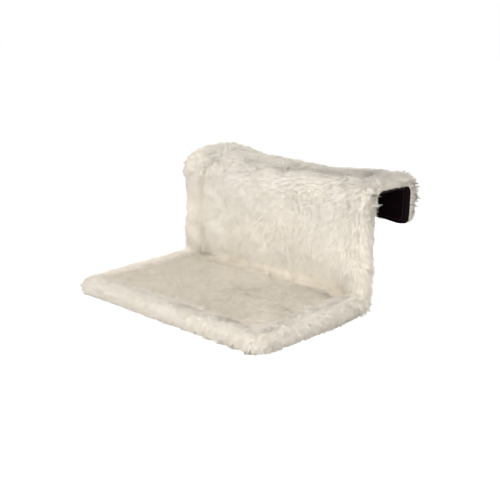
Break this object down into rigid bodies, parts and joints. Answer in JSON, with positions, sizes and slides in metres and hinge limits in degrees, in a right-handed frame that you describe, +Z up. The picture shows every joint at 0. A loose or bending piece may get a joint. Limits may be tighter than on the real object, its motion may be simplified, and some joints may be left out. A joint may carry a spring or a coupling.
{
  "type": "radiator cat bed",
  "caption": "Cat bed that hangs over a radiator: plush seat and back on a steel tube frame, with a hook that slides to the radiator's depth.",
  "frame": {"origin": "under the middle of the bed's whole width and depth, on the underside of the seat", "axes": "+X to the bed's right side seen from the front, +Y towards the radiator and the wall, +Z up"},
  "size_m": [0.45, 0.423, 0.24],
  "materials": {
    "plush": "matte",
    "lining": "matte",
    "wadding": "matte",
    "tape": "matte",
    "painted_steel": "satin",
    "zinc_steel": "satin",
    "plastic": "matte"
  },
  "bodies": {
    "bed": {"seat_tube": "painted_steel", "corner_crossbar": "painted_steel", "upright_tube_left": "painted_steel", "upright_tube_right": "painted_steel", "crossbar_plug_left": "zinc_steel", "crossbar_plug_right": "zinc_steel", "crossbar_screw_left": "zinc_steel", "crossbar_screw_right": "zinc_steel", "seat_joint_screw_left": "zinc_steel", "seat_joint_screw_right": "zinc_steel", "seat_joint_nut_left": "zinc_steel", "seat_joint_nut_right": "zinc_steel", "weld_nut_left": "zinc_steel", "weld_nut_right": "zinc_steel", "hook_bush_left": "plastic", "hook_bush_right": "plastic", "seat_wadding": "wadding", "back_wadding": "wadding", "seat_plush": "plush", "back_plush": "plush", "top_plush": "plush", "seat_lining": "lining", "back_lining": "lining", "top_lining": "lining"},
    "hook": {"hook_tube": "painted_steel", "hook_guide_left": "plastic", "hook_guide_right": "plastic", "flap_plush": "plush", "flap_lining": "lining", "closure_tape_loop": "tape", "closure_tape_hook": "tape"},
    "left_thumb_screw": {"thumb_screw_left": "plastic"},
    "right_thumb_screw": {"thumb_screw_right": "plastic"}
  },
  "joints": [
    {"name": "hook_slide", "type": "slide", "parent": "bed", "child": "hook", "axis": [0, 1, 0], "range_m": [0, 0.035]},
    {"name": "left_thumb_screw_turn", "type": "hinge", "parent": "bed", "child": "left_thumb_screw", "pos_m": [-0.2, 0.1713, 0.2213], "axis": [1, 0, 0], "range_deg": [0, 360]},
    {"name": "right_thumb_screw_turn", "type": "hinge", "parent": "bed", "child": "right_thumb_screw", "pos_m": [0.2, 0.1713, 0.2213], "axis": [-1, 0, 0], "range_deg": [0, 360]}
  ]
}
